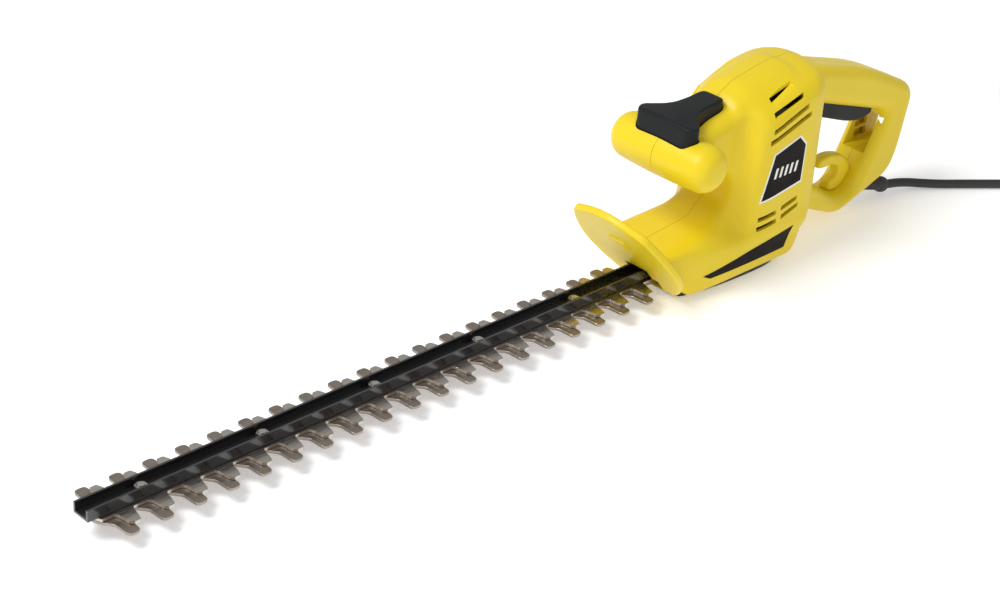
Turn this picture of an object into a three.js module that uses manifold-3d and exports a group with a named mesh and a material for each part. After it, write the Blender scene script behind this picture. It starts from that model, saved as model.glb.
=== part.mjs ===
// Corded electric hedge trimmer, in millimetres. The blade points along -X, +Z is up, and the
// halves of the housing part on the plane Y = 0. The origin is the drive gear's axis where it meets
// the surface that the sole rests on.
import * as THREE from "three";
import { mergeVertices } from "three/addons/utils/BufferGeometryUtils.js";
import Module from "manifold-3d";

const wasm = await Module();
wasm.setup();

// ---------------------------------------------------------------- driving dimensions
const WALL = 2.6; // housing wall
const GAP = 0.3; // clearance between fixed neighbours
const RUNNING = 0.05; // radial clearance of a shaft in its bore
const SPLIT = 0.15; // half the gap between the housing halves

const TOOTH_PITCH = 24;
const TOOTH_COUNT = 19;
const LAST_TOOTH_X = -96; // the tooth beside the guard
const BLADE_THICKNESS = 2;
const BLADE_HALF = 9; // half the width of the blade behind its teeth
const FINGER_REACH = 28; // from the centreline to a finger's tip
const CUTTER_REACH = 20.2; // from the centreline to a cutter's tip
const CUTTER_LEAD = 5; // how far the cutters stand behind the fingers at rest
const LOWER_BLADE_Z = 10.5;
const ECCENTRICITY = 4; // throw of each eccentric

const CHANNEL_HALF = 7;
const CHANNEL_HEIGHT = 7.6;
const CHANNEL_SHEET = 1.5;
const CHANNEL_ROOT_X = -58;
const BOLT_COUNT = 5;
const LAST_BOLT_X = -144;
const BOLT_R = 2.4;

const GEAR_MODULE = 1.25;
const GEAR_TEETH = 50;
const PINION_TEETH = 9;
const GEAR_ADDENDUM = 0.55; // in modules: short, to clear the roots of so small a pinion
const PINION_ADDENDUM = 0.9;
const GEAR_Z = 30;
const GEAR_WIDTH = 7;
const AXLE_R = 4;
const ECCENTRIC_R = 9.2;

const MOTOR_R = 27;
const STACK_Z = 64; // underside of the laminated stack
const STACK_HEIGHT = 44;
const ARMATURE_R = 15.5;
const AIR_GAP = 0.8;
const SHAFT_R = 3.5;
const BEARING_R = 8;
const BEARING_WIDTH = 6;

const SOLE_THICKNESS = 4.7;
const HOUSING_FLOOR = 5;
const BODY_HALF = 38;
const ARM_HALF = 23;
const HANDLE_HALF = 17;
const HANDLE_RIM = 4; // rounding of the handle's edges
const BAR_R = 18;
const BAR_HALF_LENGTH = 45.5;
const BAR_CENTRE = [-61, 106]; // X and Z
const GUARD_THICKNESS = 5.5;
const GUARD_FOOT = [-70, 8]; // X and Z of the guard's front face at its foot
const GUARD_TOP = [-124, 75];
const GUARD_HALF = 45;

const SCREW_R = 1.7;
const SCREW_HEAD_R = 3.4;
const SCREW_HEAD_Y = 12; // where the heads seat, right of the parting plane
const SCREW_DEPTH = 10; // how far the points reach into the left half
const BOSS_WALL = 2;

const CORD_R = 3.5;

// ---------------------------------------------------------------- materials
const finish = (color, roughness, metalness = 0) =>
  new THREE.MeshStandardMaterial({ color, roughness, metalness });
const YELLOW = finish(0xe2c921, 0.42);
const BLACK_PLASTIC = finish(0x1b1d1f, 0.5);
const SOFT_BLACK = finish(0x24282b, 0.75);
const BLADE_STEEL = finish(0x9a948c, 0.35, 1);
const BLACK_STEEL = finish(0x16181a, 0.35, 0.8);
const ZINC = finish(0xb9bcc0, 0.35, 1);
const STEEL = finish(0x8d9196, 0.4, 1);
const COPPER = finish(0xb06a3a, 0.4, 1);
const ALUMINIUM = finish(0xb4b8bb, 0.45, 1);
const CARBON = finish(0x2b2b2d, 0.8);
const RUBBER = finish(0x17181a, 0.85);
const BRASS = finish(0xc2a050, 0.35, 1);

// ---------------------------------------------------------------- outlines
// A corner is [u, v] or [u, v, radius]. The arc at a corner is a quadratic curve.
function curved(corners, steps = 3) {
  const points = [];
  corners.forEach(([u, v, radius = 0], i) => {
    const corner = new THREE.Vector2(u, v);
    if (!radius) {
      points.push(corner);
      return;
    }
    const before = new THREE.Vector2(...corners.at(i - 1).slice(0, 2));
    const after = new THREE.Vector2(...corners[(i + 1) % corners.length].slice(0, 2));
    const reach = (end) => Math.min(radius, 0.48 * corner.distanceTo(end));
    const start = corner.clone().lerp(before, reach(before) / corner.distanceTo(before));
    const end = corner.clone().lerp(after, reach(after) / corner.distanceTo(after));
    points.push(...new THREE.QuadraticBezierCurve(start, corner, end).getPoints(steps));
  });
  return points;
}

// The same corners moved by a distance towards the inside of an anticlockwise outline.
function inset(corners, distance) {
  return corners.map(([u, v, radius = 0], i) => {
    const before = corners.at(i - 1);
    const after = corners[(i + 1) % corners.length];
    const first = new THREE.Vector2(u - before[0], v - before[1]).normalize();
    const second = new THREE.Vector2(after[0] - u, after[1] - v).normalize();
    const turn = first.x * second.y - first.y * second.x;
    const half = first.clone().add(second).normalize();
    const scale = distance / Math.max(0.3, half.dot(first));
    const grown = turn > 0 ? Math.max(radius - distance, 0) : radius && radius + distance;
    return [u - half.y * scale, v + half.x * scale, grown];
  });
}

const mirrored = (half) => [
  ...half,
  ...half.slice().reverse().map(([u, v, radius = 0]) => [-u, v, radius]),
];

// ---------------------------------------------------------------- solids
function solid(geometry) {
  const g = geometry.clone();
  g.deleteAttribute("normal");
  g.deleteAttribute("uv");
  const merged = mergeVertices(g, 1e-4);
  return new wasm.Manifold(
    new wasm.Mesh({
      numProp: 3,
      vertProperties: merged.attributes.position.array,
      triVerts: new Uint32Array(merged.index.array),
    }),
  );
}

function extruded(outline, low, high, holes = []) {
  const shape = new THREE.Shape(outline);
  shape.holes = holes.map((hole) => new THREE.Path(hole));
  const g = new THREE.ExtrudeGeometry(shape, { depth: high - low, bevelEnabled: false });
  return g.translate(0, 0, low);
}

// An outline in X and Y, raised along Z.
const plan = (outline, low, high, holes) => solid(extruded(outline, low, high, holes));

// An outline in X and Z, run along Y.
const side = (outline, low, high, holes) =>
  solid(extruded(outline, -high, -low, holes).rotateX(Math.PI / 2));

// An outline in Y and Z, run along X.
const section = (outline, low, high, holes) =>
  solid(extruded(outline, low, high, holes).rotateX(Math.PI / 2).rotateZ(Math.PI / 2));

const box = (x0, x1, y0, y1, z0, z1) =>
  solid(
    new THREE.BoxGeometry(x1 - x0, y1 - y0, z1 - z0).translate(
      (x0 + x1) / 2,
      (y0 + y1) / 2,
      (z0 + z1) / 2,
    ),
  );

function upright(r, x, y, z0, z1, sides = 24) {
  const g = new THREE.CylinderGeometry(r, r, z1 - z0, sides).rotateX(Math.PI / 2);
  return solid(g.translate(x, y, (z0 + z1) / 2));
}

function across(r, x, z, y0, y1, sides = 20) {
  const g = new THREE.CylinderGeometry(r, r, y1 - y0, sides);
  return solid(g.translate(x, (y0 + y1) / 2, z));
}

function lengthwise(r0, r1, y, z, x0, x1, sides = 20) {
  const g = new THREE.CylinderGeometry(r1, r0, x1 - x0, sides).rotateZ(-Math.PI / 2);
  return solid(g.translate((x0 + x1) / 2, y, z));
}

const ring = (outer, inner, x, y, z0, z1, sides = 28) =>
  upright(outer, x, y, z0, z1, sides).subtract(upright(inner, x, y, z0 - 1, z1 + 1, sides));

const joined = (first, ...others) => others.reduce((sum, next) => sum.add(next), first);
const without = (first, ...others) => others.reduce((rest, next) => rest.subtract(next), first);

const part = new THREE.Group();

function add(name, made, material) {
  const m = made.getMesh();
  const points = new Float32Array(m.numVert * 3);
  for (let i = 0; i < m.numVert; i++)
    points.set(m.vertProperties.subarray(i * m.numProp, i * m.numProp + 3), i * 3);
  const g = new THREE.BufferGeometry()
    .setAttribute("position", new THREE.BufferAttribute(points, 3))
    .setIndex(new THREE.BufferAttribute(m.triVerts, 1));
  g.computeVertexNormals();
  const mesh = new THREE.Mesh(g, material);
  mesh.name = name;
  part.add(mesh);
}

// ---------------------------------------------------------------- blade levels
const FIRST_TOOTH_X = LAST_TOOTH_X - (TOOTH_COUNT - 1) * TOOTH_PITCH;
const BLADE_TIP_X = FIRST_TOOTH_X - TOOTH_PITCH / 2;
const CHANNEL_TIP_X = BLADE_TIP_X - 6;
const FIRST_BOLT_X = FIRST_TOOTH_X + TOOTH_PITCH;
const BOLT_STEP = (LAST_BOLT_X - FIRST_BOLT_X) / (BOLT_COUNT - 1);
const LOWER_TOP = LOWER_BLADE_Z + BLADE_THICKNESS;
const UPPER_BLADE_Z = LOWER_TOP + GAP;
const UPPER_TOP = UPPER_BLADE_Z + BLADE_THICKNESS;
const CHANNEL_Z = UPPER_TOP + GAP;
const CHANNEL_TOP = CHANNEL_Z + CHANNEL_HEIGHT;

// Each blade stands half the lead off its middle at rest, one each way, and swings one throw
// either side of its middle.
const REST_OFFSET = CUTTER_LEAD / 2;
const SLACK = 0.5;
const WINDOW_HALF_X = ECCENTRIC_R + 2 * ECCENTRICITY + SLACK;
const WINDOW_HALF_Y = ECCENTRIC_R + ECCENTRICITY + SLACK;
const TAIL_HALF_Y = WINDOW_HALF_Y + 6;
const TAIL_END = WINDOW_HALF_X + 5;
const TAIL_START = -WINDOW_HALF_X - 14;

const boltX = (i) => FIRST_BOLT_X + i * BOLT_STEP;

// ---------------------------------------------------------------- blades
// One side of a finger: wide at its root, hollow along both flanks and blunt at its tip.
function fingerCorners(x) {
  return [
    [x - 9, BLADE_HALF],
    [x - 4.6, BLADE_HALF + 4],
    [x - 3.4, FINGER_REACH, 2.6],
    [x + 3.4, FINGER_REACH, 2.6],
    [x + 4.6, BLADE_HALF + 4],
    [x + 9, BLADE_HALF],
  ];
}

// A cutter: a trapezium with a small step ground into its trailing corner.
function cutterCorners(x) {
  return [
    [x - 6.5, BLADE_HALF],
    [x - 3, CUTTER_REACH],
    [x + 1, CUTTER_REACH],
    [x + 1.4, CUTTER_REACH + 1.2],
    [x + 3, CUTTER_REACH + 1.2],
    [x + 6.5, BLADE_HALF],
  ];
}

// shift moves teeth, tail and slots from the middle of the stroke to where they are at rest.
function blade(toothCorners, z, shift) {
  const half = [[BLADE_TIP_X, 4, 2], [BLADE_TIP_X + 5, BLADE_HALF]];
  for (let i = 0; i < TOOTH_COUNT; i++)
    half.push(...toothCorners(FIRST_TOOTH_X + REST_OFFSET + i * TOOTH_PITCH + shift));
  half.push(
    [TAIL_START - 16, BLADE_HALF],
    [TAIL_START, TAIL_HALF_Y, 6],
    [TAIL_END + shift, TAIL_HALF_Y, 6],
  );
  const outline = [...half, ...half.slice().reverse().map(([x, y, r = 0]) => [x, -y, r])];
  const low = z;
  const high = z + BLADE_THICKNESS;
  const window = curved([
    [shift - WINDOW_HALF_X, -WINDOW_HALF_Y, 3],
    [shift + WINDOW_HALF_X, -WINDOW_HALF_Y, 3],
    [shift + WINDOW_HALF_X, WINDOW_HALF_Y, 3],
    [shift - WINDOW_HALF_X, WINDOW_HALF_Y, 3],
  ]);
  let made = plan(curved(outline.reverse(), 2), low, high).subtract(plan(window, low - 1, high + 1));
  for (let i = 0; i < BOLT_COUNT; i++) {
    const end = ECCENTRICITY + BOLT_R + SLACK;
    const slot = curved([
      [boltX(i) + shift - end, -BOLT_R - GAP, 2],
      [boltX(i) + shift + end, -BOLT_R - GAP, 2],
      [boltX(i) + shift + end, BOLT_R + GAP, 2],
      [boltX(i) + shift - end, BOLT_R + GAP, 2],
    ], 3);
    made = made.subtract(plan(slot, low - 1, high + 1));
  }
  return made;
}

function addBlades() {
  add("lower_blade", blade(fingerCorners, LOWER_BLADE_Z, -REST_OFFSET), BLADE_STEEL);
  add("upper_blade", blade(cutterCorners, UPPER_BLADE_Z, REST_OFFSET), BLADE_STEEL);
}

function addChannel() {
  const outer = [[-CHANNEL_HALF, CHANNEL_Z], [CHANNEL_HALF, CHANNEL_Z],
    [CHANNEL_HALF, CHANNEL_TOP], [CHANNEL_HALF - CHANNEL_SHEET, CHANNEL_TOP],
    [CHANNEL_HALF - CHANNEL_SHEET, CHANNEL_Z + CHANNEL_SHEET],
    [CHANNEL_SHEET - CHANNEL_HALF, CHANNEL_Z + CHANNEL_SHEET],
    [CHANNEL_SHEET - CHANNEL_HALF, CHANNEL_TOP], [-CHANNEL_HALF, CHANNEL_TOP]];
  let made = section(curved(outer), CHANNEL_TIP_X, CHANNEL_ROOT_X);
  for (let i = 0; i < BOLT_COUNT; i++)
    made = made.subtract(upright(BOLT_R + GAP, boltX(i), 0, CHANNEL_Z - 1, CHANNEL_TOP, 16));
  add("blade_channel", made, BLACK_STEEL);
}

function addBladeBolts() {
  const seat = CHANNEL_Z + CHANNEL_SHEET + GAP;
  for (let i = 0; i < BOLT_COUNT; i++) {
    const x = boltX(i);
    const head = upright(4.2, x, 0, LOWER_BLADE_Z - GAP - 2.2, LOWER_BLADE_Z - GAP, 20);
    const shank = upright(BOLT_R, x, 0, LOWER_BLADE_Z - GAP - 1, seat + 3.6, 16);
    add(`blade_bolt_${i + 1}`, head.add(shank), ZINC);
    const nut = upright(4.2, x, 0, seat, seat + 2.8, 6);
    const bore = upright(BOLT_R + GAP, x, 0, seat - 1, seat + 5, 16);
    add(`blade_nut_${i + 1}`, nut.subtract(bore), ZINC);
  }
}

// ---------------------------------------------------------------- gear train
// One involute gear outline. Its flanks are the involute of the base circle.
function gearOutline(teeth, addendum, otherAddendum, phase, backlash = 0.15) {
  const module = GEAR_MODULE;
  const pitchR = (teeth * module) / 2;
  const baseR = pitchR * Math.cos(THREE.MathUtils.degToRad(20));
  const tipR = pitchR + addendum * module;
  const rootR = pitchR - (otherAddendum + 0.2) * module;
  const involute = (r) => {
    const a = Math.acos(Math.min(1, baseR / r));
    return Math.tan(a) - a;
  };
  const halfAtPitch = (Math.PI / 2 - backlash / module) / teeth;
  const halfAt = (r) => halfAtPitch + involute(pitchR) - involute(Math.max(r, baseR));
  const radii = [pitchR, tipR];
  const footR = Math.max(rootR, baseR);
  const foot = halfAt(footR) + 0.1 * (Math.PI / teeth - halfAt(footR));
  const points = [];
  const at = (r, angle) => points.push(new THREE.Vector2(r * Math.cos(angle), r * Math.sin(angle)));
  for (let i = 0; i < teeth; i++) {
    const middle = phase + (i * 2 * Math.PI) / teeth;
    at(rootR, middle - foot);
    radii.forEach((r) => at(r, middle - halfAt(r)));
    radii.toReversed().forEach((r) => at(r, middle + halfAt(r)));
    at(rootR, middle + foot);
  }
  return points;
}

const MOTOR_X = (GEAR_MODULE * (GEAR_TEETH + PINION_TEETH)) / 2;
const GEAR_TOP = GEAR_Z + GEAR_WIDTH;
const PLATE_Z = GEAR_TOP + 1.5;
const PLATE_THICKNESS = 4;
const PLATE_TOP = PLATE_Z + PLATE_THICKNESS;
const AXLE_FOOT = HOUSING_FLOOR + WALL + GAP;
const FAN_Z = PLATE_TOP + 7;
const STACK_TOP = STACK_Z + STACK_HEIGHT;
const COMMUTATOR_Z = STACK_TOP + 4;
const UPPER_BEARING_Z = COMMUTATOR_Z + 14;

function addDriveGear() {
  const turn = Math.acos(REST_OFFSET / ECCENTRICITY);
  const dx = ECCENTRICITY * Math.cos(turn);
  const dy = ECCENTRICITY * Math.sin(turn);
  const between = (LOWER_TOP + UPPER_BLADE_Z) / 2;
  const teeth = gearOutline(GEAR_TEETH, GEAR_ADDENDUM, PINION_ADDENDUM, 0);
  const wheel = plan(teeth, GEAR_Z, GEAR_TOP);
  const lower = upright(ECCENTRIC_R, -dx, -dy, LOWER_BLADE_Z - 0.2, between, 32);
  const upper = upright(ECCENTRIC_R, dx, dy, between, UPPER_TOP + 0.2, 32);
  const hub = upright(7.5, 0, 0, UPPER_TOP, GEAR_Z + 1);
  const bore = upright(AXLE_R + RUNNING, 0, 0, LOWER_BLADE_Z - 2, GEAR_TOP + 2, 32);
  let made = joined(wheel, hub, upper, lower).subtract(bore);
  for (let i = 0; i < 4; i++) {
    const a = ((i + 0.5) * Math.PI) / 2;
    const x = 19 * Math.cos(a);
    const y = 19 * Math.sin(a);
    made = made.subtract(upright(6, x, y, GEAR_Z - 1, GEAR_TOP + 1, 10));
  }
  add("drive_gear", made, STEEL);
  add("gear_axle", upright(AXLE_R, 0, 0, AXLE_FOOT, PLATE_Z + PLATE_THICKNESS - 0.5, 32), ZINC);
}

function addGearPlate() {
  const outline = curved([[-50, -13, 6], [-24, -25, 8], [58, -25, 10], [58, 25, 10],
    [-24, 25, 8], [-50, 13, 6]], 3);
  const plate = plan(outline, PLATE_Z, PLATE_TOP);
  const seat = upright(BEARING_R + GAP, MOTOR_X, 0, PLATE_Z - 2, PLATE_TOP + 5);
  const cup = upright(BEARING_R + 3, MOTOR_X, 0, PLATE_Z + 1, PLATE_TOP + 3);
  const axleHole = upright(AXLE_R + RUNNING, 0, 0, PLATE_Z - 1, PLATE_TOP + 1, 32);
  add("gear_plate", without(joined(plate, cup), seat, axleHole), ALUMINIUM);
}

function addRotor() {
  const phase = Math.PI + Math.PI / PINION_TEETH;
  const teeth = gearOutline(PINION_TEETH, PINION_ADDENDUM, GEAR_ADDENDUM, phase);
  const pinion = plan(teeth, GEAR_Z - 1, GEAR_TOP + 1).translate([MOTOR_X, 0, 0]);
  const spindle = (r, z0, z1, sides = 20) => upright(r, MOTOR_X, 0, z0, z1, sides);
  const bore = spindle(SHAFT_R + GAP, 0, 200);
  add("pinion", pinion.subtract(spindle(2 + GAP, 0, 200, 12)), STEEL);
  add("rotor_shaft", joined(spindle(2, GEAR_Z - 2, PLATE_Z, 12),
    spindle(SHAFT_R, GEAR_TOP + 1 + GAP, UPPER_BEARING_Z + BEARING_WIDTH + 1)), STEEL);
  const blades = [];
  for (let i = 0; i < 9; i++) {
    const vane = box(MOTOR_X + 8, MOTOR_X + 23, -0.8, 0.8, FAN_Z + 1, FAN_Z + 7);
    blades.push(vane.translate([-MOTOR_X, 0, 0]).rotate([0, 0, i * 40]).translate([MOTOR_X, 0, 0]));
  }
  const disc = spindle(24, FAN_Z, FAN_Z + 1.6, 36);
  const hub = spindle(9, FAN_Z, FAN_Z + 8);
  add("cooling_fan", joined(disc, hub, ...blades).subtract(bore), BLACK_PLASTIC);
  const slots = [];
  for (let i = 0; i < 12; i++) {
    const a = (i * Math.PI) / 6;
    const reach = ARMATURE_R - 1;
    slots.push(upright(1.6, MOTOR_X + reach * Math.cos(a), reach * Math.sin(a), STACK_Z - 1,
      STACK_TOP + 1, 8));
  }
  add("armature", without(spindle(ARMATURE_R, STACK_Z, STACK_TOP, 36), bore, ...slots), COPPER);
  add("commutator", spindle(9, COMMUTATOR_Z, COMMUTATOR_Z + 10, 24).subtract(bore), COPPER);
}

function addMotor() {
  const stack = ring(MOTOR_R, ARMATURE_R + AIR_GAP, MOTOR_X, 0, STACK_Z, STACK_TOP, 40);
  const flats = [box(0, 90, MOTOR_R - 2, 60, STACK_Z - 1, STACK_TOP + 1),
    box(0, 90, -60, 2 - MOTOR_R, STACK_Z - 1, STACK_TOP + 1)];
  add("motor_stator", without(stack, ...flats), STEEL);
  const bearing = (name, z) =>
    add(name, ring(BEARING_R, SHAFT_R + RUNNING, MOTOR_X, 0, z, z + BEARING_WIDTH, 28), STEEL);
  bearing("lower_bearing", PLATE_Z);
  bearing("upper_bearing", UPPER_BEARING_Z);
  for (const [name, way] of [["front_brush", -1], ["rear_brush", 1]]) {
    const near = MOTOR_X + way * (9 + GAP);
    const far = MOTOR_X + way * 20;
    const low = COMMUTATOR_Z + 2;
    add(name, box(Math.min(near, far), Math.max(near, far), -3, 3, low, low + 6), CARBON);
  }
  const carrier = ring(MOTOR_R - 2, 21, MOTOR_X, 0, COMMUTATOR_Z - 2, COMMUTATOR_Z + 10, 32);
  const bridge = box(MOTOR_X - 22, MOTOR_X + 22, -6, 6, COMMUTATOR_Z + 10 + GAP,
    UPPER_BEARING_Z + 3);
  const posts = [-1, 1].map((way) => box(MOTOR_X + way * 23 - 2, MOTOR_X + way * 23 + 2, -6, 6,
    COMMUTATOR_Z, UPPER_BEARING_Z + 3));
  const cup = upright(BEARING_R + 3, MOTOR_X, 0, UPPER_BEARING_Z - 2,
    UPPER_BEARING_Z + BEARING_WIDTH);
  const bores = upright(BEARING_R + GAP, MOTOR_X, 0, UPPER_BEARING_Z - GAP, UPPER_BEARING_Z + 20);
  const shaftHole = upright(SHAFT_R + 1, MOTOR_X, 0, COMMUTATOR_Z, UPPER_BEARING_Z + 1);
  add("brush_carrier", without(joined(carrier, bridge, cup, ...posts), bores, shaftHole), BLACK_PLASTIC);
}

// ---------------------------------------------------------------- housing
const GUARD_LEAN = Math.atan2(GUARD_FOOT[0] - GUARD_TOP[0], GUARD_TOP[1] - GUARD_FOOT[1]);
const GUARD_BACK = (GUARD_THICKNESS + GAP) / Math.cos(GUARD_LEAN); // along X, at any height
const guardX = (z) => GUARD_FOOT[0] - (z - GUARD_FOOT[1]) * Math.tan(GUARD_LEAN);

const GEARBOX_SIDE = [[guardX(HOUSING_FLOOR) + GUARD_BACK, HOUSING_FLOOR], [48, HOUSING_FLOOR, 5],
  [68, 38, 8], [68, 58], [-24, 58, 6], [-30, 48, 8], [guardX(42) + GUARD_BACK, 42]];
const GEARBOX_PLAN = [[-95, -28], [-30, 1 - BODY_HALF, 20], [10, -BODY_HALF, 20],
  [52, 2 - BODY_HALF, 14], [69, -26, 10], [69, 26, 10], [52, BODY_HALF - 2, 14],
  [10, BODY_HALF, 20], [-30, BODY_HALF - 1, 20], [-95, 28]];
const GEARBOX_SECTION = mirrored([[34, HOUSING_FLOOR, 3], [BODY_HALF, 20, 8], [BODY_HALF, 34, 6],
  [25, 47, 8], [10, 59, 6]]);

const POD_SIDE = [[-22, 30, 6], [60, 28, 4], [74, 52, 8], [74, 138, 12], [62, 151, 10],
  [22, 145, 20], [-4, 142, 8]];
const POD_PLAN = [[-24, -32, 12], [4, -BODY_HALF, 14], [58, -BODY_HALF, 12], [75, -24, 12],
  [75, 24, 12], [58, BODY_HALF, 12], [4, BODY_HALF, 14], [-24, 32, 12]];
const POD_SECTION = mirrored([[30, 24], [BODY_HALF, 30, 6], [BODY_HALF, 129, 14],
  [BODY_HALF - 11, 143, 14], [7, 151, 10]]);

const ARM_SIDE = [[28, 50], [28, 146], [8, 141, 8], [-12, 137, 3], [-17, 131, 4],
  [-62, 123, 10], [-76, 108, 6], [-62, 92, 8], [-34, 92, 16], [-12, 82, 12], [-13, 60, 10],
  [-28, 47, 6], [0, 44]];
const ARM_SECTION = mirrored([[ARM_HALF, 40], [ARM_HALF, 130, 6], [14, 146, 4]]);

const HANDLE_SIDE = [[70, 30], [90, 19.5, 8], [127, 4, 8], [184, 22, 10], [194, 38, 12],
  [204, 90, 13], [146, 119, 20], [84, 137, 8], [70, 138]];
const HANDLE_OPENING = [[80, 50, 6], [122, 22, 8], [140, 21, 8], [157, 48, 12], [171, 78, 8],
  [79, 109, 6]];
const CORD_WINDOW = { halfY: 10, low: 46, high: 74 };

function block(outlines, shrink) {
  const [sideOutline, planOutline, sectionOutline] = outlines.map((corners) =>
    corners && curved(shrink ? inset(corners, shrink) : corners, shrink ? 1 : 3));
  let made = side(sideOutline, -90, 90);
  if (planOutline) made = made.intersect(plan(planOutline, -10, 200));
  if (sectionOutline) made = made.intersect(section(sectionOutline, -200, 250));
  return made;
}

// A barrel-shaped grip across the tool, with domed ends.
function bar(shrink) {
  const half = BAR_HALF_LENGTH - shrink;
  const r = BAR_R - shrink;
  const profile = curved([[0, -half], [r - 2, -half, 9], [r, 0, 30], [r - 2, half, 9], [0, half]]);
  return solid(new THREE.LatheGeometry(profile, 20))
    .translate([BAR_CENTRE[0], 0, BAR_CENTRE[1]]);
}

function handle(shrink) {
  const rim = Math.max(HANDLE_RIM - shrink, 1.2);
  const outer = curved(inset(HANDLE_SIDE, shrink));
  const shape = new THREE.Shape(outer);
  shape.holes = [new THREE.Path(curved(inset(HANDLE_OPENING, -shrink)))];
  const depth = 2 * (HANDLE_HALF - shrink - rim);
  const bevels = { bevelThickness: rim, bevelSize: rim, bevelOffset: -rim, bevelSegments: 3 };
  const g = new THREE.ExtrudeGeometry(shape, { depth, bevelEnabled: true, ...bevels });
  return solid(g.translate(0, 0, -depth / 2).rotateX(Math.PI / 2));
}

const screwPlaces = [[-70, 33], BAR_CENTRE, [-2, 126], [64, 137], [64, 40], [104, 124], [193, 86],
  [180, 31]];

const TRIGGER_SLOT = { x0: 84, x1: 164, halfY: 10.5 };
const LEVER_PLAN = [[-72.5, -22, 4], [-63, -28, 5], [-51, -13, 8], [-38, -10, 8], [-16, -10.5, 9],
  [-16, 10.5, 9], [-38, 10, 8], [-51, 13, 8], [-63, 28, 5], [-72.5, 22, 4]];
const LEVER_HINGE = [-24, 123]; // X and Z

// Slots for cooling air, as rows of [x0, z0, x1, z1] along the slot's middle, and their height.
const VENT_ROWS = [[10, 134, 33, 142, 4], [8, 126, 37, 135, 4], [6, 115, 41, 127, 4],
  [4, 107, 45, 120, 4], [1, 48, 19, 50, 3.6], [0, 41, 20, 43, 3.6], [24, 51, 41, 55, 3.6],
  [25, 44, 43, 49, 3.6]];

function vents() {
  return VENT_ROWS.map(([x0, z0, x1, z1, height]) => {
    const slot = [[x0, z0 - height / 2, 1], [x1, z1 - height / 2, 1], [x1, z1 + height / 2, 1],
      [x0, z0 + height / 2, 1]];
    return side(curved(slot, 2), -90, 90).subtract(side(curved([[-99, 0], [99, 0], [99, 200],
      [-99, 200]]), -24, 24));
  });
}

function housingHalf(way) {
  const outer = joined(block([GEARBOX_SIDE, GEARBOX_PLAN, GEARBOX_SECTION], 0),
    block([POD_SIDE, POD_PLAN, POD_SECTION], 0), block([ARM_SIDE, null, ARM_SECTION], 0),
    bar(0), handle(0));
  const inner = joined(block([GEARBOX_SIDE, GEARBOX_PLAN, GEARBOX_SECTION], WALL),
    block([POD_SIDE, POD_PLAN, POD_SECTION], WALL), block([ARM_SIDE, null, ARM_SECTION], WALL),
    bar(WALL), handle(WALL));
  let made = outer.subtract(inner);
  const bosses = screwPlaces.map(([x, z]) =>
    across(SCREW_HEAD_R + BOSS_WALL, x, z, -60, 60, 12).intersect(outer));
  const ribs = motorRibs().map((rib) => rib.intersect(block([POD_SIDE, POD_PLAN, POD_SECTION], 0)));
  made = joined(made, ...bosses, ...ribs, ...soleBosses());
  const cuts = [...vents(), noseOpening(), triggerOpening(), leverOpening(), cordOutlet()];
  for (const [x, z] of screwPlaces)
    cuts.push(across(SCREW_R + GAP, x, z, -SCREW_DEPTH - 2, 20, 10),
      across(SCREW_HEAD_R + GAP, x, z, SCREW_HEAD_Y - GAP, 60, 12));
  for (const [x, y] of SOLE_SCREWS) cuts.push(upright(SCREW_R + GAP, x, y, 0, 14, 12));
  made = without(made, ...cuts, cordWindow());
  made = made.add(windowWalls());
  const room = way < 0 ? box(-200, 300, -60, -SPLIT, -5, 200) : box(-200, 300, SPLIT, 60, -5, 200);
  return made.intersect(room);
}

// Ribs that hold the motor's stack, front, rear and on each side.
function motorRibs() {
  const [low, high] = [STACK_Z + 2, STACK_TOP - 2];
  const reach = MOTOR_R + GAP;
  return [
    box(MOTOR_X - 3, MOTOR_X + 3, MOTOR_R - 2 + GAP, 60, low, high),
    box(MOTOR_X - 3, MOTOR_X + 3, -60, 2 - MOTOR_R - GAP, low, high),
    box(MOTOR_X + reach, 120, -4, 4, low, high),
    box(-40, MOTOR_X - reach, -4, 4, low, high),
  ];
}

function noseOpening() {
  return box(-110, -56, -CHANNEL_HALF - 3.5, CHANNEL_HALF + 3.5, LOWER_BLADE_Z - 1.5,
    CHANNEL_TOP + 1.5);
}

function triggerOpening() {
  const { x0, x1, halfY } = TRIGGER_SLOT;
  return side(curved([[x0 - 2, 90], [x1, 70], [x1 + 2, 92], [x0 - 2, 117]]), -halfY, halfY);
}

function leverOpening() {
  return plan(curved(inset(LEVER_PLAN, -0.8)), 113, 160);
}

// The window in the handle's rear leg, which a loop of extension lead passes through.
function cordWindow() {
  const { halfY, low, high } = CORD_WINDOW;
  return box(150, 215, -halfY, halfY, low, high);
}

function windowWalls() {
  const { halfY, low, high } = CORD_WINDOW;
  const frame = box(150, 215, -halfY - WALL, halfY + WALL, low - WALL, high + WALL);
  return frame.subtract(cordWindow()).intersect(handle(0));
}

const RELIEF_PLACE = [144, 4.7, 18.3]; // middle of the strain relief's inner end
const RELIEF_TURN = [0, 11.4, -16]; // degrees about X, Y and Z: down, and to the left
const RELIEF_LENGTH = 51.9;
const RELIEF_FLANGE_R = 5.6;
const RELIEF_R = 4.8;

function cordOutlet() {
  const bore = lengthwise(RELIEF_R + GAP, RELIEF_R + GAP, 0, 0, -12, 60, 16);
  const groove = lengthwise(RELIEF_FLANGE_R + GAP, RELIEF_FLANGE_R + GAP, 0, 0, -GAP, 3 + GAP, 16);
  return bore.add(groove).rotate(RELIEF_TURN).translate(RELIEF_PLACE);
}

function addHousing() {
  add("left_housing", housingHalf(-1), YELLOW);
  add("right_housing", housingHalf(1), YELLOW);
}

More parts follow.
